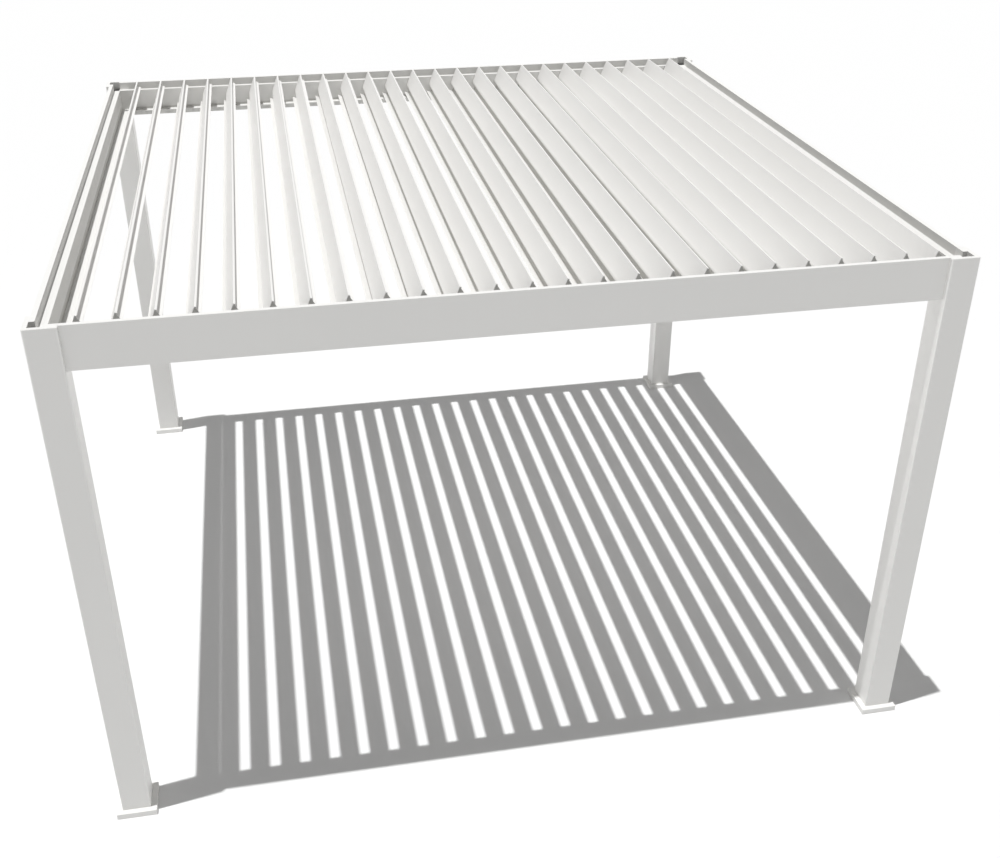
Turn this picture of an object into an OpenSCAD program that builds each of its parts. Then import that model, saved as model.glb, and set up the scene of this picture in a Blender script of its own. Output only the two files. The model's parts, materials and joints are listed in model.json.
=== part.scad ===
// Free-standing pergola with gutter beams and a roof of turning louvers.
// The plan is centred on the origin, the ground is at z = 0, the front faces -Y,
// and the louvers lie side by side along X.

/* [Overall] */
// Width over the posts, across the louvers
plan_w = 4000; // [3400:10:4600]
// Depth over the posts, along the louvers
plan_d = 4000; // [2000:10:5000]
// Height of the post tops and beam tops
frame_h = 2580; // [2000:10:3200]

/* [Posts] */
// Side of the square post tube
post_w = 135; // [130:1:150]
// Outer corner radius of the post tube
post_r = 6; // [4:1:15]
// Wall of the post tube
post_wall = 4; // [2.5:0.5:6]
// Side of the square foot plate
foot_w = 190; // [170:1:260]
// Thickness of the foot plate
foot_t = 30; // [10:1:40]
// Corner radius of the foot plate
foot_r = 5; // [2:1:20]

/* [Beams] */
// Height of the beam
beam_h = 196; // [165:1:240]
// Distance from the post face back to the beam face
beam_setback = 20; // [8:1:22]
// Wall of the beam profile
beam_wall = 3; // [2:0.5:5]
// Width of the upstand along the outer edge
upstand_w = 23; // [14:1:26]
// Width of the sunk channel behind the upstand
channel_w = 35; // [30:1:42]
// Height of the gutter floor above the beam's underside
gutter_bed = 30; // [26:1:38]
// Thickness of the hollow gutter tray
gutter_t = 24; // [12:1:26]
// Diameter of the drain in a corner's gutter floor
drain_d = 30; // [16:1:34]
// Width of the edge bar along the gutter's inner side
edge_w = 8; // [4:1:12]
// Height of that bar above the gutter floor
lip_h = 4; // [3:1:10]

/* [Louvers] */
// Number of louvers
louver_count = 25; // [24:1:26]
// Room between the end louvers' field and the side beams' inner walls
field_gap = 22; // [18:0.5:30]
// Lap of one louver over the next
louver_lap = 8.5; // [6:0.5:12]
// Thickness of the louver body
louver_t = 38; // [34:1:42]
// Depth of the pivot axis below the louver's weather face
pivot_depth = 15; // [12:1:18]
// Distance from the channel floor down to the pivot axis
pivot_edge = 25; // [20:0.5:40]
// Gap between the turning louvers and the gutter lip
sweep_gap = 10.5; // [5:0.5:16]
// Length of the tongue on the upper edge
tongue_l = 25.5; // [22:0.5:28]
// Thickness of the tongue
tongue_t = 9.5; // [7:0.5:12]
// Width of the rain trough on the lower edge
trough_w = 35; // [30:1:40]
// Depth of the trough below the weather face
trough_depth = 29; // [24:1:31]
// Radius over which the weather face rolls into the trough
trough_r = 22; // [6:1:22]
// Thickness of the trough's lip
trough_lip_t = 4; // [3:0.5:6]
// Angle of the louvers in the stored pose, 0 is flat and 90 upright
louver_angle = 68; // [30:1:110]
// Diameter of the pivot pins
pin_d = 12; // [8:1:16]
// Radial clearance of a pin in its bore
pin_clearance = 0.05; // [0.02:0.01:0.1]
// Length of a pin beyond the beam's inner wall
pin_reach = 6; // [3:1:12]
// Diameter of the thrust collar round a pin
collar_d = 24; // [18:1:30]
// Gap between a louver's end and the beam's inner wall
end_gap = 5; // [5:0.5:8]
// Gap between a thrust collar and the beam's inner wall
collar_gap = 0.3; // [0.2:0.1:0.6]

/* [Hidden] */
$fn = 48;
SLOP = 1;

wall_n = upstand_w + channel_w;
beam_w = post_w - beam_setback;
span_x = plan_w - 2 * post_w;
span_y = plan_d - 2 * post_w;
field_x = plan_w - 2 * (beam_setback + wall_n);
field_y = plan_d - 2 * (beam_setback + wall_n);

louver_pitch = (field_x - 2 * field_gap) / louver_count;
louver_chord = louver_pitch + louver_lap;
louver_len = field_y - 2 * end_gap;
louver_sweep = norm([louver_chord / 2, max(pivot_depth, louver_t - pivot_depth)]);

// Depths below the beam top
gutter_depth = beam_h - gutter_bed;
pivot_drop = gutter_depth - lip_h - sweep_gap - louver_sweep;
channel_depth = pivot_drop - pivot_edge;
pivot_z = frame_h - pivot_drop;
bore_d = pin_d + 2 * pin_clearance;

// Distances inward from a post's outer faces
upstand_in = beam_setback + upstand_w;
wall_in = beam_setback + wall_n;
tube_in = post_w - post_wall;
tube_r = max(post_r - post_wall, 1);

CORNERS = [["front_left", -1, -1], ["front_right", 1, -1], ["back_left", -1, 1], ["back_right", 1, 1]];
SIDES = ["front", "back", "left", "right"];

function louver_x(i) = (i - (louver_count + 1) / 2) * louver_pitch;
function is_end(side) = side == "front" || side == "back";
function louver_name(i) = str("louver_", i < 10 ? "0" : "", i);

// Puts a child drawn from a post's outer corner, inward along +X and +Y, at one corner of the plan
module at_corner(sx, sy) {
    translate([sx * plan_w / 2, sy * plan_d / 2, 0])
        mirror([sx > 0 ? 1 : 0, 0, 0])
            mirror([0, sy > 0 ? 1 : 0, 0])
                children();
}

// Square of side w from the origin with corner radius r
module rounded_square(w, r) {
    translate([r, 0]) square([w - 2 * r, w]);
    translate([0, r]) square([w, w - 2 * r]);
    for (x = [r, w - r], y = [r, w - r])
        translate([x, y]) circle(r);
}

// Block between two corners
module block(low, high) {
    translate(low) cube(high - low);
}

// Foot plate under a post
module foot(sx, sy) {
    edge = (foot_w - post_w) / 2;
    color("gainsboro")
        at_corner(sx, sy)
            translate([-edge, -edge, 0])
                linear_extrude(foot_t)
                    rounded_square(foot_w, foot_r);
}

// Post tube, cut away on its two inner sides where the channels and gutters pass into it
module post(sx, sy) {
    out = post_w + SLOP;
    top = frame_h + SLOP;
    color("whitesmoke")
        at_corner(sx, sy)
            difference() {
                translate([0, 0, foot_t])
                    linear_extrude(frame_h - foot_t)
                        difference() {
                            rounded_square(post_w, post_r);
                            translate([post_wall, post_wall])
                                rounded_square(post_w - 2 * post_wall, tube_r);
                        }
                block([wall_in, wall_in, frame_h - gutter_depth], [out, out, top]);
                block([tube_in - SLOP, upstand_in, frame_h - channel_depth], [out, wall_in, top]);
                block([upstand_in, tube_in - SLOP, frame_h - channel_depth], [wall_in, out, top]);
            }
}

// Half of a corner insert: rim, pocket wall, upstand end, channel end and inner wall along one beam
module corner_half() {
    bottom = frame_h - gutter_depth - beam_wall;
    floor_z = frame_h - channel_depth;
    wall_start = wall_in - beam_wall;
    pocket_out = beam_setback - beam_wall;
    block([post_wall, post_wall, frame_h - beam_wall], [tube_in, beam_setback, frame_h]);
    block([pocket_out, pocket_out, floor_z - beam_wall], [tube_in, beam_setback, frame_h]);
    block([wall_in, beam_setback, floor_z - beam_wall], [tube_in, upstand_in, frame_h]);
    block([wall_start, upstand_in, floor_z - beam_wall], [tube_in, wall_in, floor_z]);
    block([wall_start, wall_start, bottom], [tube_in, wall_in, floor_z]);
}

// Corner insert in a post top, round an open drain pocket
module corner(sx, sy) {
    bottom = frame_h - gutter_depth - beam_wall;
    wall_start = wall_in - beam_wall;
    drain_at = (wall_in + tube_in) / 2;
    color("white")
        at_corner(sx, sy)
            difference() {
                intersection() {
                    translate([post_wall, post_wall, 0])
                        linear_extrude(frame_h)
                            rounded_square(post_w - 2 * post_wall, tube_r);
                    union() {
                        corner_half();
                        mirror([1, -1, 0]) corner_half();
                        block([wall_start, wall_start, bottom], [tube_in, tube_in, bottom + beam_wall]);
                    }
                }
                translate([drain_at, drain_at, bottom - SLOP])
                    cylinder(h = beam_wall + 2 * SLOP, d = drain_d);
            }
}

// Beam profile: outer face at x = 0, inward along +X, bottom at y = 0
module beam_section() {
    channel_y = beam_h - channel_depth;
    w = beam_wall;
    difference() {
        polygon([
            [0, 0], [wall_n, 0], [wall_n, channel_y],
            [upstand_w, channel_y], [upstand_w, beam_h], [0, beam_h]
        ]);
        translate([w, channel_y]) square([upstand_w - 2 * w, channel_depth - w]);
        translate([w, w]) square([wall_n - 2 * w, channel_y - 2 * w]);
    }
}

// Gutter profile against the beam's inner wall, in the beam profile's place
module gutter_section() {
    w = beam_wall;
    gutter_w = beam_w - edge_w - wall_n;
    translate([wall_n, gutter_bed - gutter_t])
        difference() {
            square([gutter_w, gutter_t]);
            translate([w, w]) square([gutter_w - 2 * w, gutter_t - 2 * w]);
        }
}

// Round-topped edge bar along the gutter, in the beam profile's place
module edge_section() {
    r = edge_w / 2;
    straight = gutter_t + lip_h - r;
    translate([beam_w - edge_w, gutter_bed - gutter_t]) {
        square([edge_w, straight]);
        translate([r, straight]) circle(r);
    }
}

// A profile run along one side of the plan, its ends against the posts
module side_run(side) {
    depth = is_end(side) ? plan_d : plan_w;
    length = is_end(side) ? span_x : span_y;
    translate([0, beam_setback - depth / 2, frame_h - beam_h])
        rotate([90, 0, 90])
            linear_extrude(length, center = true)
                children();
}

// Turns a child drawn at the front of the plan to the named side
module at_side(side) {
    if (side == "front") children();
    if (side == "back") mirror([0, 1, 0]) children();
    if (side == "left") rotate([0, 0, -90]) children();
    if (side == "right") mirror([1, 0, 0]) rotate([0, 0, -90]) children();
}

// Bores for the louvers' pins through a front beam's inner wall
module pin_bores() {
    inner = beam_setback + wall_n - beam_wall - SLOP;
    for (i = [1:louver_count])
        translate([louver_x(i), inner - plan_d / 2, pivot_z])
            rotate([-90, 0, 0])
                cylinder(h = beam_wall + 2 * SLOP, d = bore_d);
}

// Beam on one side of the plan, bored where it carries the louvers
module beam(side) {
    color("whitesmoke")
        at_side(side)
            difference() {
                side_run(side) beam_section();
                if (is_end(side)) pin_bores();
            }
}

// Rain gutter along one beam
module gutter(side) {
    color("white")
        at_side(side)
            side_run(side) gutter_section();
}

// Edge bar that holds the water in a gutter
module edge(side) {
    color("whitesmoke")
        at_side(side)
            side_run(side) edge_section();
}

// Louver profile about its pivot: tongue at +X, trough at -X, weather face up
module louver_section() {
    half = louver_chord / 2;
    top = pivot_depth;
    under = top - louver_t;
    trough = top - trough_depth;
    trough_in = trough_w - half;
    roll = [trough_in + trough_r, top - trough_r];
    polygon([
        [half, top], [roll[0], top], roll, [trough_in, roll[1]],
        [trough_in, trough], [trough_lip_t - half, trough],
        [trough_lip_t - half, top], [-half, top],
        [-half, under], [half - tongue_l, under],
        [half - tongue_l, top - tongue_t], [half, top - tongue_t]
    ]);
    translate(roll)
        intersection() {
            circle(trough_r);
            translate([-trough_r, 0]) square(trough_r);
        }
}

// Pivot pin and thrust collar on the front end of a louver
module pivot() {
    translate([0, -louver_len / 2, 0])
        rotate([90, 0, 0]) {
            cylinder(h = end_gap - collar_gap, d = collar_d);
            cylinder(h = end_gap + beam_wall + pin_reach, d = pin_d);
        }
}

// One louver at its place in the row
module louver(i) {
    color("white")
        translate([louver_x(i), 0, pivot_z])
            rotate([0, -louver_angle, 0]) {
                rotate([90, 0, 0])
                    linear_extrude(louver_len, center = true)
                        louver_section();
                pivot();
                mirror([0, 1, 0]) pivot();
            }
}

for (c = CORNERS) {
    foot(c[1], c[2]);
    post(c[1], c[2]);
    corner(c[1], c[2]);
}
for (s = SIDES) {
    beam(s);
    gutter(s);
    edge(s);
}
for (i = [1:louver_count])
    louver(i);
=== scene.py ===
"""Looks of a white louvered pergola: powder coat, soft edges, louver end caps and their screws."""

import json
import math

import bmesh
import bpy
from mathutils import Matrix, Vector


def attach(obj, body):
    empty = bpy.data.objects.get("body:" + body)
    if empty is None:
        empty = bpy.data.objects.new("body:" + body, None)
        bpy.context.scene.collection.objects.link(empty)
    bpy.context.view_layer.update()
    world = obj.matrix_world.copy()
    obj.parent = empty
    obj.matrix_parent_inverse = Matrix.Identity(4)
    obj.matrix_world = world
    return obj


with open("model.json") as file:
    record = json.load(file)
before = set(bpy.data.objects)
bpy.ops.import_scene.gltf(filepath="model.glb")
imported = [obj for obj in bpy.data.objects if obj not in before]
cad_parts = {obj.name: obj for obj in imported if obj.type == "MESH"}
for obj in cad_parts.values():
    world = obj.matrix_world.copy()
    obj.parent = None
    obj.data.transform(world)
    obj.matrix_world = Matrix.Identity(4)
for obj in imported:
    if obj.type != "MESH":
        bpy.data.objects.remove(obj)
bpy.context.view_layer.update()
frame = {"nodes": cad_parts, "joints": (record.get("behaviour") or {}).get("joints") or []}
scene = bpy.context.scene

# The photograph's frame in pixels, and the camera in metres and degrees
IMAGE_W = 1000
IMAGE_H = 858
FOCAL = 1219.8
AXIS_ROW = 441.1
SENSOR_W = 36.0
CAMERA_AT = (-1.0127, -6.5156, 4.5255)
CAMERA_DIP = 29.799
CAMERA_TURN = 10.994

# Sun, with its width in degrees, sky and floor
TO_SUN = (-0.1335, -0.024, 1.0)
SUN_STRENGTH = 2.72
SUN_ANGLE = 0.53
SKY_STRENGTH = 0.25
BACKDROP_STRENGTH = 1.0
SKY_WHITE = (1, 1, 1, 1)
FLOOR_COLOR = (0.90, 0.90, 0.90, 1)
FLOOR_SIZE = 160.0
FLOOR_DROP = 0.0005

# Colours of the finishes, and of the painted light and shade
FRAME_WHITE = (0.888, 0.883, 0.863, 1)
# Painted light: a paler white for the posts' side faces
PAINTED_SIDE_LIGHT = (0.985, 0.980, 0.960, 1)
LOUVER_WHITE = (0.935, 0.926, 0.907, 1)
DUST_COLOR = (0.66, 0.65, 0.62, 1)
# Painted shade on the edge bars
EDGE_SHADE = (0.30, 0.30, 0.28, 1)
# Painted shade in the louvers' troughs
TROUGH_SHADE = (0.50, 0.495, 0.47, 1)
BOUNCE_GREY = (0.39, 0.385, 0.365, 1)
# Painted shade along the foot of the gutters' walls, on the side and end beams
WALL_FOOT_SHADE_SIDES = (0.58, 0.575, 0.55, 1)
WALL_FOOT_SHADE_ENDS = (0.70, 0.695, 0.67, 1)
CAP_PALE = (0.86, 0.86, 0.84, 1)
STEEL_GREY = (0.62, 0.62, 0.63, 1)
STEEL_DARK = (0.52, 0.52, 0.53, 1)

# Powder coat: clouds, uneven gloss and orange peel
CLOUD_SCALE, CLOUD_DETAIL = 1.7, 3.0
GLOSS_SCALE, GLOSS_DETAIL = 9.0, 2.0
GLOSS_LOW, GLOSS_HIGH = 0.42, 0.55
PEEL_SCALE, PEEL_DETAIL = 420.0, 1.0
PEEL_STRENGTH, PEEL_DEPTH = 0.12, 0.0002

# Dust and, on the edge bars, painted shade: specks on tops, and streaks that run down the sides
# about the noise's middle
SPECK_SCALE, SPECK_DETAIL = 14.0, 5.0
STREAK_SQUEEZE = (38.0, 38.0, 1.1)
STREAK_SCALE, STREAK_DETAIL = 1.0, 3.0
NOISE_MIDDLE = 0.5

# Painted light on the posts' side faces, which are told by how far they turn to the left or right
SIDE_FROM = 0.5
SIDE_FULL = 0.9

# Moulded caps and turned screws
PATCH_SCALE, PATCH_DETAIL = 30.0, 2.0
PATCH_LOW, PATCH_HIGH = 0.94, 1.04
CAP_GLOSS_LOW, CAP_GLOSS_HIGH = 0.52, 0.66
GRAIN_SCALE = 900.0
GRAIN_STRENGTH, GRAIN_DEPTH = 0.15, 0.0001
TURNING_SCALE, TURNING_DETAIL = 700.0, 2.0
TURNING_LOW, TURNING_HIGH = 0.28, 0.42

# Each coat: its white, its clouding, and the dust on its tops and sides; on the edge bars' coat
# that layer is painted shade
FRAME_COAT = {"color": FRAME_WHITE, "clouding": 0.03, "on_top": 0.05, "on_sides": 0.04}
COAT_LOOKS = {
    "foot_coat": {"color": FRAME_WHITE, "clouding": 0.04, "on_top": 0.10, "on_sides": 0.06},
    "frame_coat": FRAME_COAT,
    "post_coat": FRAME_COAT,
    "end_beam_coat": FRAME_COAT,
    "side_beam_coat": FRAME_COAT,
    "gutter_coat": FRAME_COAT,
    # Painted shade on the edge bars, mostly down their sides
    "edge_coat": {**FRAME_COAT, "on_sides": 1.1, "dust_and_shade_color": EDGE_SHADE, "streaks": 0.25},
    "louver_coat": {"color": LOUVER_WHITE, "clouding": 0.02, "on_top": 0.04, "on_sides": 0.03},
}
CALM_COATS = ("end_beam_coat", "side_beam_coat", "gutter_coat", "edge_coat")

# Which coat a node has, by its name or its kind
COATS = {"foot": "foot_coat", "post": "post_coat", "corner": "frame_coat",
         "beam_front": "end_beam_coat", "beam_back": "end_beam_coat",
         "beam_left": "side_beam_coat", "beam_right": "side_beam_coat",
         "gutter": "gutter_coat", "edge": "edge_coat", "louver": "louver_coat"}

# Edges of the metal pieces
WELD_GAP = 0.00002
FLAT_ANGLE = math.radians(0.5)
EDGE_ANGLE = math.radians(40)
EDGE_STEPS = 3
EDGE_R = {"foot": 0.0020, "post": 0.0012, "corner": 0.0006, "beam": 0.0010,
          "gutter": 0.0006, "edge": 0.0006, "louver": 0.0010}

# Louver profile, about its pivot, as it lies in the frame
LOUVER_ANGLE = math.radians(68)
LOUVER_LAP = 0.0085
LOUVER_T = 0.038
LOUVER_END = 1.917
PIVOT_DEPTH = 0.015
TONGUE_L = 0.0255
TONGUE_T = 0.0095
TROUGH_W = 0.035
TROUGH_DEPTH = 0.029
TROUGH_R = 0.022
TROUGH_STEPS = 8
TROUGH_LIP_T = 0.004

# Painted shade in the louvers' troughs: it thins out up to this depth under the weather face
SHADE_FULL_AT = 0.010
SHADE_MARGIN = 0.001

# Painted shade along the foot of the beams' inner walls, over the gutter's floor
GUTTER_FLOOR = 2.414
WALL_FACE = 1.922
WALL_MARGIN = 0.006
FOOT_SHADE_FADE = 0.004
FOOT_SHADE_RISE_SIDES = 0.034
FOOT_SHADE_RISE_ENDS = 0.011
WALL_FOOT_SHADES = {"end_beam_coat": (WALL_FOOT_SHADE_ENDS, FOOT_SHADE_RISE_ENDS),
         "side_beam_coat": (WALL_FOOT_SHADE_SIDES, FOOT_SHADE_RISE_SIDES)}

# End caps and their screws; the front caps have a web under the tongue
CAP_T = 0.0022
CAP_INSET = 0.0007
CAP_EDGE = 0.0006
CAP_EDGE_STEPS = 2
WEB_REACH = 0.0193
SCREW_R = 0.0040
SCREW_H = 0.0016
SCREW_BROW = 0.55
SCREW_CROWN = 0.72
SOCKET_R = 0.0021
SOCKET_DEPTH = 0.0010
SCREW_SIDES = 18
SCREWS_AT = ((0.040, -0.004), (-0.032, -0.006))
FRONT, BACK = -1, 1

# Places of a colour mix among its node's sockets
MIX_SHARE, MIX_FIRST, MIX_SECOND, MIX_RESULT = 0, 6, 7, 2


def link(obj):
    """Puts an object into the scene."""
    scene.collection.objects.link(obj)
    return obj


def make_camera():
    """Camera at the photograph's place, with its small vertical shift."""
    data = bpy.data.cameras.new("camera")
    data.sensor_width = SENSOR_W
    data.lens = SENSOR_W * FOCAL / IMAGE_W
    data.shift_y = (AXIS_ROW - IMAGE_H / 2) / IMAGE_W
    camera = link(bpy.data.objects.new("camera", data))
    camera.location = CAMERA_AT
    camera.rotation_euler = (math.radians(90 - CAMERA_DIP), 0, -math.radians(CAMERA_TURN))
    scene.camera = camera


def make_sun():
    """High sun, a little to the left, which draws the striped shadow."""
    data = bpy.data.lights.new("sun", "SUN")
    data.energy = SUN_STRENGTH
    data.angle = math.radians(SUN_ANGLE)
    sun = link(bpy.data.objects.new("sun", data))
    sun.rotation_mode = "QUATERNION"
    sun.rotation_quaternion = Vector(TO_SUN).to_track_quat("Z", "Y")


def set_or_link(links, socket, value):
    """Sets a plain value on a socket, or links another socket to it."""
    if isinstance(value, (int, float, tuple)):
        socket.default_value = value
    else:
        links.new(value, socket)


def add_math(nodes, links, operation, first, second):
    """One step of arithmetic; both terms may be numbers or sockets."""
    step = nodes.new("ShaderNodeMath")
    step.operation = operation
    set_or_link(links, step.inputs[0], first)
    set_or_link(links, step.inputs[1], second)
    return step.outputs[0]


def add_range(nodes, links, value, low, high, start=0.0, stop=1.0, easing="LINEAR"):
    """Spreads a value from start to stop over low to high, and holds it there."""
    spread = nodes.new("ShaderNodeMapRange")
    spread.interpolation_type = easing
    links.new(value, spread.inputs["Value"])
    for label, end in (("From Min", start), ("From Max", stop), ("To Min", low), ("To Max", high)):
        set_or_link(links, spread.inputs[label], end)
    return spread.outputs["Result"]


def add_mix(nodes, links, share, first, second):
    """Blends two colours by a share."""
    mix = nodes.new("ShaderNodeMix")
    mix.data_type = "RGBA"
    for place, value in ((MIX_SHARE, share), (MIX_FIRST, first), (MIX_SECOND, second)):
        set_or_link(links, mix.inputs[place], value)
    return mix.outputs[MIX_RESULT]


def add_tint(nodes, links, color, tone):
    """Makes a colour lighter or darker by a tone."""
    tinted = nodes.new("ShaderNodeVectorMath")
    tinted.operation = "SCALE"
    links.new(color, tinted.inputs[0])
    links.new(tone, tinted.inputs["Scale"])
    return tinted.outputs[0]


def add_noise(nodes, links, place, scale, detail):
    """Noise over a place; its scale may be a number or a socket."""
    noise = nodes.new("ShaderNodeTexNoise")
    noise.inputs["Detail"].default_value = detail
    links.new(place, noise.inputs["Vector"])
    set_or_link(links, noise.inputs["Scale"], scale)
    return noise.outputs["Fac"]


def add_place(nodes, kind="Object"):
    """A point's place, or its Normal, in the piece's own axes."""
    return nodes.new("ShaderNodeTexCoord").outputs[kind]


def add_axes(nodes, links, vector):
    """The X, Y and Z of a vector."""
    parts = nodes.new("ShaderNodeSeparateXYZ")
    links.new(vector, parts.inputs[0])
    return parts.outputs


def add_bump(nodes, links, shader, height, strength, depth):
    """Raises the shader's surface by a height."""
    bump = nodes.new("ShaderNodeBump")
    bump.inputs["Strength"].default_value = strength
    bump.inputs["Distance"].default_value = depth
    links.new(height, bump.inputs["Height"])
    links.new(bump.outputs["Normal"], shader.inputs["Normal"])


def add_glow(nodes, strength):
    """White world light of a given strength."""
    glow = nodes.new("ShaderNodeBackground")
    glow.inputs["Color"].default_value = SKY_WHITE
    glow.inputs["Strength"].default_value = strength
    return glow.outputs[0]


def make_sky():
    """Even sky light that the camera and reflections see as plain white."""
    world = bpy.data.worlds.new("sky")
    scene.world = world
    world.use_nodes = True
    nodes, links = world.node_tree.nodes, world.node_tree.links
    nodes.clear()
    path = nodes.new("ShaderNodeLightPath").outputs
    mirrored = add_math(nodes, links, "MAXIMUM", path["Is Glossy Ray"], path["Is Transmission Ray"])
    seen = add_math(nodes, links, "MAXIMUM", path["Is Camera Ray"], mirrored)
    mix = nodes.new("ShaderNodeMixShader")
    out = nodes.new("ShaderNodeOutputWorld")
    light, backdrop = add_glow(nodes, SKY_STRENGTH), add_glow(nodes, BACKDROP_STRENGTH)
    for socket, source in zip(mix.inputs, (seen, light, backdrop)):
        links.new(source, socket)
    links.new(mix.outputs[0], out.inputs["Surface"])


def new_material(name):
    """A material with a bare Principled shader, returned with its nodes and links."""
    material = bpy.data.materials.new(name)
    material.use_nodes = True
    nodes, links = material.node_tree.nodes, material.node_tree.links
    return material, nodes, links, nodes["Principled BSDF"]


def make_floor():
    """Plain pale floor under the feet."""
    material, _, _, shader = new_material("floor_pale")
    shader.inputs["Base Color"].default_value = FLOOR_COLOR
    shader.inputs["Roughness"].default_value = 1.0
    shader.inputs["Specular IOR Level"].default_value = 0.0
    half = FLOOR_SIZE / 2
    mesh = bpy.data.meshes.new("floor")
    corners = [(-half, -half, 0), (half, -half, 0), (half, half, 0), (-half, half, 0)]
    mesh.from_pydata(corners, [], [(0, 1, 2, 3)])
    mesh.materials.append(material)
    floor = link(bpy.data.objects.new("floor", mesh))
    floor.location.z = -FLOOR_DROP


def new_group(name, inputs, outputs):
    """An empty shader node group with named sockets."""
    group = bpy.data.node_groups.new(name, "ShaderNodeTree")
    for label, kind, value in inputs:
        socket = group.interface.new_socket(label, in_out="INPUT", socket_type=kind)
        socket.default_value = value
    for label, kind in outputs:
        group.interface.new_socket(label, in_out="OUTPUT", socket_type=kind)
    start = group.nodes.new("NodeGroupInput")
    end = group.nodes.new("NodeGroupOutput")
    return group, group.nodes, group.links, start.outputs, end.inputs


def powder_coat_group():
    """Sprayed coat: a faint cloudiness, an uneven gloss and a fine orange peel."""
    group, nodes, links, given, made = new_group(
        "powder_coat",
        [("Color", "NodeSocketColor", FRAME_WHITE),
         ("Clouding", "NodeSocketFloat", FRAME_COAT["clouding"]),
         ("Gloss Low", "NodeSocketFloat", GLOSS_LOW), ("Gloss High", "NodeSocketFloat", GLOSS_HIGH),
         ("Peel Scale", "NodeSocketFloat", PEEL_SCALE)],
        [("Color", "NodeSocketColor"), ("Roughness", "NodeSocketFloat"),
         ("Height", "NodeSocketFloat")])
    place = add_place(nodes)
    cloud = add_noise(nodes, links, place, CLOUD_SCALE, CLOUD_DETAIL)
    cloudiest = add_math(nodes, links, "SUBTRACT", 1.0, given["Clouding"])
    tone = add_range(nodes, links, cloud, cloudiest, 1.0)
    links.new(add_tint(nodes, links, given["Color"], tone), made["Color"])
    gloss = add_noise(nodes, links, place, GLOSS_SCALE, GLOSS_DETAIL)
    gloss = add_range(nodes, links, gloss, given["Gloss Low"], given["Gloss High"])
    links.new(gloss, made["Roughness"])
    links.new(add_noise(nodes, links, place, given["Peel Scale"], PEEL_DETAIL), made["Height"])
    return group


def dust_and_shade_group():
    """Thin dust that settles on faces turned up and runs in faint streaks down the others; on the
    edge bars the same layer is painted shade.
    """
    group, nodes, links, given, made = new_group(
        "dust_and_painted_shade",
        [("Color", "NodeSocketColor", FRAME_WHITE), ("Dust", "NodeSocketColor", DUST_COLOR),
         ("On Top", "NodeSocketFloat", FRAME_COAT["on_top"]),
         ("On Sides", "NodeSocketFloat", FRAME_COAT["on_sides"]),
         ("Streaks", "NodeSocketFloat", 1.0)],
        [("Color", "NodeSocketColor")])
    place = add_place(nodes)
    up = nodes.new("ShaderNodeClamp")
    links.new(add_axes(nodes, links, add_place(nodes, "Normal"))["Z"], up.inputs["Value"])
    up = up.outputs[0]
    speck = add_noise(nodes, links, place, SPECK_SCALE, SPECK_DETAIL)
    top = add_math(nodes, links, "MULTIPLY", speck, given["On Top"])
    top = add_math(nodes, links, "MULTIPLY", top, up)
    squeezed = nodes.new("ShaderNodeMapping")
    squeezed.inputs["Scale"].default_value = STREAK_SQUEEZE
    links.new(place, squeezed.inputs["Vector"])
    streak = add_noise(nodes, links, squeezed.outputs[0], STREAK_SCALE, STREAK_DETAIL)
    streak = add_math(nodes, links, "SUBTRACT", streak, NOISE_MIDDLE)
    streak = add_math(nodes, links, "MULTIPLY", streak, given["Streaks"])
    streak = add_math(nodes, links, "ADD", streak, NOISE_MIDDLE)
    side = add_math(nodes, links, "MULTIPLY", streak, given["On Sides"])
    side = add_math(nodes, links, "MULTIPLY", side, add_math(nodes, links, "SUBTRACT", 1.0, up))
    mask = add_math(nodes, links, "ADD", top, side)
    links.new(add_mix(nodes, links, mask, given["Color"], given["Dust"]), made["Color"])
    return group


def wall_foot_shade_group():
    """Painted shade: a grey band along the foot of the gutters' walls."""
    group, nodes, links, given, made = new_group(
        "painted_wall_foot_shade",
        [("Color", "NodeSocketColor", FRAME_WHITE), ("Film", "NodeSocketColor", WALL_FOOT_SHADE_ENDS),
         ("Rise", "NodeSocketFloat", FOOT_SHADE_RISE_ENDS)],
        [("Color", "NodeSocketColor")])
    at = add_axes(nodes, links, add_place(nodes))
    out = [add_math(nodes, links, "ABSOLUTE", at[axis], 0.0) for axis in ("X", "Y")]
    out = add_math(nodes, links, "MAXIMUM", *out)
    wall = add_math(nodes, links, "LESS_THAN", out, WALL_FACE + WALL_MARGIN)
    height = add_math(nodes, links, "SUBTRACT", at["Z"], GUTTER_FLOOR)
    inside = add_math(nodes, links, "GREATER_THAN", height, -SHADE_MARGIN)
    over = add_math(nodes, links, "SUBTRACT", height, given["Rise"])
    mask = add_range(nodes, links, over, 1.0, 0.0, stop=FOOT_SHADE_FADE)
    for limit in (wall, inside):
        mask = add_math(nodes, links, "MULTIPLY", mask, limit)
    links.new(add_mix(nodes, links, mask, given["Color"], given["Film"]), made["Color"])
    return group


def moulded_grain_group():
    """Spark-eroded grain of moulded plastic, with a slightly patchy gloss."""
    group, nodes, links, given, made = new_group(
        "moulded_grain",
        [("Color", "NodeSocketColor", CAP_PALE), ("Grain Scale", "NodeSocketFloat", GRAIN_SCALE)],
        [("Color", "NodeSocketColor"), ("Roughness", "NodeSocketFloat"),
         ("Height", "NodeSocketFloat")])
    place = add_place(nodes)
    patch = add_noise(nodes, links, place, PATCH_SCALE, PATCH_DETAIL)
    tone = add_range(nodes, links, patch, PATCH_LOW, PATCH_HIGH)
    links.new(add_tint(nodes, links, given["Color"], tone), made["Color"])
    gloss = add_range(nodes, links, patch, CAP_GLOSS_LOW, CAP_GLOSS_HIGH)
    links.new(gloss, made["Roughness"])
    grain = nodes.new("ShaderNodeTexVoronoi")
    links.new(place, grain.inputs["Vector"])
    links.new(given["Grain Scale"], grain.inputs["Scale"])
    links.new(grain.outputs["Distance"], made["Height"])
    return group


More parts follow.
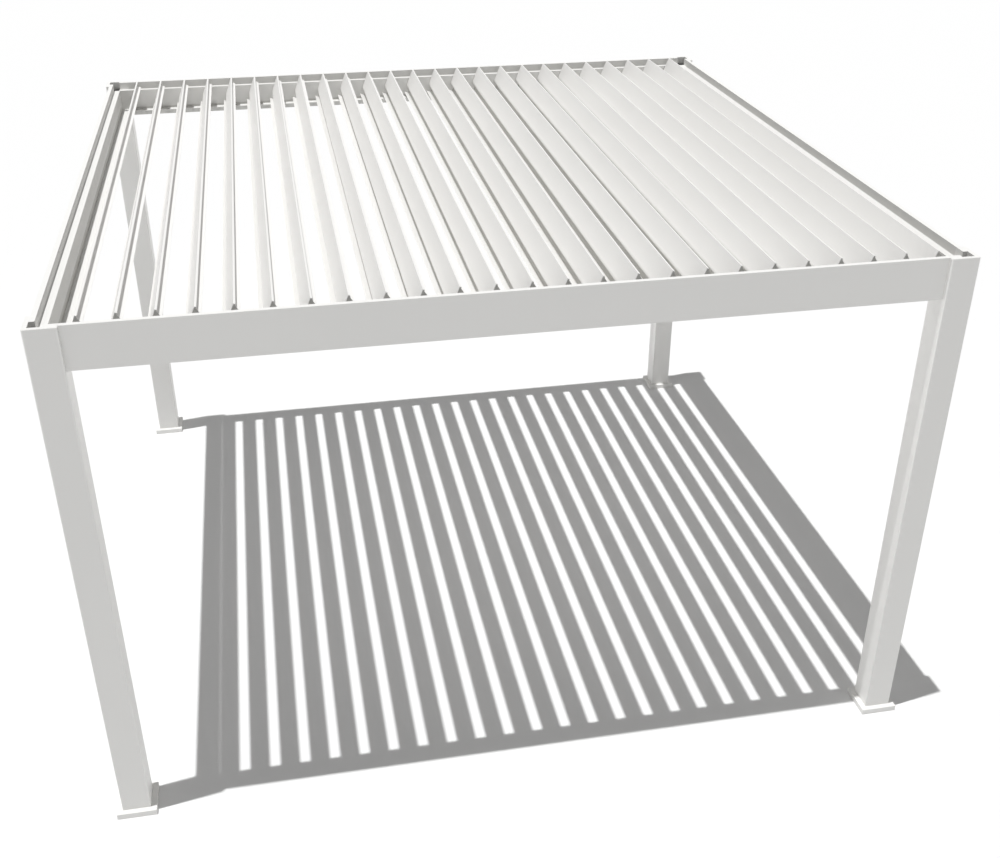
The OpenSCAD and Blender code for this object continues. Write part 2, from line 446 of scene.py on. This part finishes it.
def place_group(nodes, group, **values):
    """Sets a group in a material with its own values."""
    node = nodes.new("ShaderNodeGroup")
    node.node_tree = group
    for label, value in values.items():
        node.inputs[label.replace("_", " ")].default_value = value
    return node


def coat_material(name, coat, dust, color, clouding, on_top, on_sides,
                  dust_and_shade_color=DUST_COLOR, streaks=1.0):
    """White powder coat with a trace of dust; on the edge bars that layer is painted shade instead.
    """
    material, nodes, links, shader = new_material(name)
    paint = place_group(nodes, coat, Color=color, Clouding=clouding)
    # Dust layer; on the edge bars its colour is painted shade
    dusty = place_group(nodes, dust, Dust=dust_and_shade_color, On_Top=on_top, On_Sides=on_sides, Streaks=streaks)
    links.new(paint.outputs["Color"], dusty.inputs["Color"])
    links.new(dusty.outputs["Color"], shader.inputs["Base Color"])
    links.new(paint.outputs["Roughness"], shader.inputs["Roughness"])
    add_bump(nodes, links, shader, paint.outputs["Height"], PEEL_STRENGTH, PEEL_DEPTH)
    return material


def open_coat(material):
    """A coat's nodes and links, its colour socket, and the colour that feeds it so far."""
    nodes, links = material.node_tree.nodes, material.node_tree.links
    base = nodes["Principled BSDF"].inputs["Base Color"]
    return nodes, links, base, base.links[0].from_socket


def paint_side_light(material):
    """Painted light: a touch more white on the posts' side faces."""
    nodes, links, base, color = open_coat(material)
    facing = add_axes(nodes, links, add_place(nodes, "Normal"))
    turn = add_math(nodes, links, "ABSOLUTE", facing["X"], 0.0)
    side = add_range(nodes, links, turn, 0.0, 1.0, SIDE_FROM, SIDE_FULL)
    links.new(add_mix(nodes, links, side, color, PAINTED_SIDE_LIGHT), base)


def paint_wall_foot_shade(material, foot_shade, dust_and_shade_color, rise):
    """Adds the painted shade along the foot of the gutter's wall to a beam's coat."""
    nodes, links, base, color = open_coat(material)
    band = place_group(nodes, foot_shade, Film=dust_and_shade_color, Rise=rise)
    links.new(color, band.inputs["Color"])
    links.new(band.outputs["Color"], base)


def calm_bounce(material):
    """Passes on less of the light that bounces about inside the beams."""
    nodes, links, base, color = open_coat(material)
    bounce = nodes.new("ShaderNodeLightPath").outputs["Is Diffuse Ray"]
    links.new(add_mix(nodes, links, bounce, color, BOUNCE_GREY), base)


def louver_pivots():
    """Middle of each louver's pivot axis, by the louver's name."""
    return {j["child"]: Vector(j["pos_m"]) for j in frame["joints"]}


def louver_pitch(pivots):
    """Distance from one louver to the next."""
    return pivots["louver_02"].x - pivots["louver_01"].x


def add_profile_place(nodes, links, pitch, height):
    """A louver point's place along its profile, and across it from the pivot."""
    at = add_axes(nodes, links, add_place(nodes))
    from_pivot = nodes.new("ShaderNodeMath")
    from_pivot.operation = "WRAP"
    for socket, value in zip(from_pivot.inputs, (at["X"], pitch / 2, -pitch / 2)):
        set_or_link(links, socket, value)
    x = from_pivot.outputs[0]
    z = add_math(nodes, links, "SUBTRACT", at["Z"], height)
    c, s = math.cos(LOUVER_ANGLE), math.sin(LOUVER_ANGLE)
    along = add_math(nodes, links, "ADD", add_math(nodes, links, "MULTIPLY", x, c),
                     add_math(nodes, links, "MULTIPLY", z, s))
    across = add_math(nodes, links, "SUBTRACT", add_math(nodes, links, "MULTIPLY", z, c),
                      add_math(nodes, links, "MULTIPLY", x, s))
    return along, across


def shade_troughs(material):
    """Painted shade in the louvers' troughs, grey, thinning out over the rolled edge."""
    nodes, links, base, color = open_coat(material)
    pivots = louver_pivots()
    pitch = louver_pitch(pivots)
    lower_edge = -(pitch + LOUVER_LAP) / 2
    along, across = add_profile_place(nodes, links, pitch, pivots["louver_01"].z)
    depth = add_math(nodes, links, "SUBTRACT", PIVOT_DEPTH, across)
    mask = add_range(nodes, links, depth, 0.0, 1.0, stop=SHADE_FULL_AT, easing="SMOOTHSTEP")
    for value, operation, limit in (
            (along, "LESS_THAN", lower_edge + TROUGH_W + TROUGH_R),
            (along, "GREATER_THAN", lower_edge + TROUGH_LIP_T + SHADE_MARGIN),
            (depth, "LESS_THAN", TROUGH_DEPTH + SHADE_MARGIN)):
        within = add_math(nodes, links, operation, value, limit)
        mask = add_math(nodes, links, "MULTIPLY", mask, within)
    links.new(add_mix(nodes, links, mask, color, TROUGH_SHADE), base)


def make_coats():
    """The coats of all metal pieces, by name."""
    coat, dust, foot_shade = powder_coat_group(), dust_and_shade_group(), wall_foot_shade_group()
    coats = {name: coat_material(name + "_white", coat, dust, **look)
             for name, look in COAT_LOOKS.items()}
    # Painted light on the posts' side faces
    paint_side_light(coats["post_coat"])
    # Painted shade in the louvers' troughs
    shade_troughs(coats["louver_coat"])
    # Painted shade along the foot of the beams' inner walls
    for name, (dust_and_shade_color, rise) in WALL_FOOT_SHADES.items():
        paint_wall_foot_shade(coats[name], foot_shade, dust_and_shade_color, rise)
    for name in CALM_COATS:
        calm_bounce(coats[name])
    return coats


def cap_material():
    """Pale moulded plastic of the louvers' end caps."""
    material, nodes, links, shader = new_material("cap_plastic")
    skin = place_group(nodes, moulded_grain_group(), Color=CAP_PALE)
    links.new(skin.outputs["Color"], shader.inputs["Base Color"])
    links.new(skin.outputs["Roughness"], shader.inputs["Roughness"])
    add_bump(nodes, links, shader, skin.outputs["Height"], GRAIN_STRENGTH, GRAIN_DEPTH)
    return material


def steel_material():
    """Turned stainless screws."""
    material, nodes, links, shader = new_material("screw_steel")
    turning = add_noise(nodes, links, add_place(nodes), TURNING_SCALE, TURNING_DETAIL)
    gloss = add_range(nodes, links, turning, TURNING_LOW, TURNING_HIGH)
    links.new(gloss, shader.inputs["Roughness"])
    shade = add_mix(nodes, links, turning, STEEL_GREY, STEEL_DARK)
    links.new(shade, shader.inputs["Base Color"])
    shader.inputs["Metallic"].default_value = 1.0
    return material


def soften_edges(part, radius):
    """Joins a node's faces and rounds its sharp edges."""
    weld = part.modifiers.new("weld", "WELD")
    weld.merge_threshold = WELD_GAP
    flats = part.modifiers.new("flats", "DECIMATE")
    flats.decimate_type = "DISSOLVE"
    flats.angle_limit = FLAT_ANGLE
    edge = part.modifiers.new("edge", "BEVEL")
    edge.width = radius
    edge.segments = EDGE_STEPS
    edge.limit_method = "ANGLE"
    edge.angle_limit = EDGE_ANGLE
    edge.harden_normals = True


def dress_metal(coats):
    """Gives each node its coat and its edge radius."""
    for name, part in frame["nodes"].items():
        kind = name.split("_")[0]
        part.data.materials.clear()
        part.data.materials.append(coats[COATS.get(name) or COATS[kind]])
        soften_edges(part, EDGE_R[kind])


def louver_outline(chord, inset, web):
    """Corner points of the louver profile, drawn in by a margin, weather face up.

    A web under the tongue reaches this far out along it.
    """
    half = chord / 2 - inset
    top = PIVOT_DEPTH - inset
    under = PIVOT_DEPTH - LOUVER_T + inset
    trough_in = TROUGH_W - chord / 2
    trough_floor = PIVOT_DEPTH - TROUGH_DEPTH - inset
    lip = TROUGH_LIP_T - chord / 2 - inset
    shoulder = chord / 2 - TONGUE_L - inset
    tongue_under = PIVOT_DEPTH - TONGUE_T + inset
    turns = [math.pi / 2 * k / TROUGH_STEPS for k in range(TROUGH_STEPS + 1)]
    roll = [(trough_in + TROUGH_R - (TROUGH_R - inset) * math.sin(t),
             PIVOT_DEPTH - TROUGH_R + (TROUGH_R - inset) * math.cos(t)) for t in turns]
    return [(half, top), *roll, (trough_in + inset, trough_floor), (lip, trough_floor), (lip, top),
            (-half, top), (-half, under), (shoulder, under),
            (shoulder + web, tongue_under), (half, tongue_under)]


def louver_place(pivot, along, across, y):
    """A point of the louver profile in the frame, with the louver at rest."""
    c, s = math.cos(LOUVER_ANGLE), math.sin(LOUVER_ANGLE)
    return Vector((pivot.x + along * c - across * s, y, pivot.z + along * s + across * c))


def add_cap(mesh, pivot, outline, side):
    """Plate over one end of a louver, with an eased outer edge."""
    inner = side * LOUVER_END
    outer = inner + side * CAP_T
    back = [mesh.verts.new(louver_place(pivot, u, v, inner)) for u, v in outline]
    front = [mesh.verts.new(louver_place(pivot, u, v, outer)) for u, v in outline]
    mesh.faces.new(back)
    rim = list(mesh.faces.new(front).edges)
    count = len(outline)
    for i in range(count):
        j = (i + 1) % count
        mesh.faces.new((back[i], back[j], front[j], front[i]))
    bmesh.ops.bevel(mesh, geom=rim, offset=CAP_EDGE, segments=CAP_EDGE_STEPS, affect="EDGES",
                    profile=0.5)


def hexagon_reach(angle):
    """How far a hexagon reaches at an angle, beside its round."""
    sixth = math.pi / 3
    return math.cos(sixth / 2) / math.cos(angle % sixth - sixth / 2)


def add_screw(mesh, pivot, at, side):
    """Low round head with a six-sided socket, on a cap."""
    base = side * (LOUVER_END + CAP_T)
    rings = [(SCREW_R, 0.0), (SCREW_R, SCREW_H * SCREW_BROW), (SCREW_R * SCREW_CROWN, SCREW_H),
             (SOCKET_R, SCREW_H), (SOCKET_R, SCREW_H - SOCKET_DEPTH)]
    loops = []
    for radius, height in rings:
        loop = []
        for k in range(SCREW_SIDES):
            angle = 2 * math.pi * k / SCREW_SIDES
            reach = radius * (hexagon_reach(angle) if radius == SOCKET_R else 1.0)
            u = at[0] + reach * math.cos(angle)
            v = at[1] + reach * math.sin(angle)
            loop.append(mesh.verts.new(louver_place(pivot, u, v, base + side * height)))
        loops.append(loop)
    for low, high in zip(loops, loops[1:]):
        for k in range(SCREW_SIDES):
            n = (k + 1) % SCREW_SIDES
            mesh.faces.new((low[k], low[n], high[n], high[k]))
    mesh.faces.new(loops[0])
    mesh.faces.new(loops[-1])


def finish_piece(name, mesh, material, body):
    """Turns built faces into a piece that rides on a body."""
    bmesh.ops.recalc_face_normals(mesh, faces=mesh.faces)
    data = bpy.data.meshes.new(name)
    mesh.to_mesh(data)
    mesh.free()
    data.materials.append(material)
    piece = link(bpy.data.objects.new(name, data))
    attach(piece, body)


def dress_louver_ends(cap_plastic, screw_steel):
    """End caps and screws on both ends of every louver."""
    pivots = louver_pivots()
    chord = louver_pitch(pivots) + LOUVER_LAP
    outlines = {FRONT: louver_outline(chord, CAP_INSET, WEB_REACH),
                BACK: louver_outline(chord, CAP_INSET, 0.0)}
    for name in sorted(pivots):
        caps, screws = bmesh.new(), bmesh.new()
        for side, outline in outlines.items():
            add_cap(caps, pivots[name], outline, side)
            for at in SCREWS_AT:
                add_screw(screws, pivots[name], at, side)
        number = name.split("_")[1]
        finish_piece("end_caps_" + number, caps, cap_plastic, name)
        finish_piece("cap_screws_" + number, screws, screw_steel, name)


def main():
    """Sets the stage and dresses the pergola."""
    scene.view_settings.view_transform = "Standard"
    make_camera()
    make_sun()
    make_sky()
    make_floor()
    dress_metal(make_coats())
    dress_louver_ends(cap_material(), steel_material())


main()
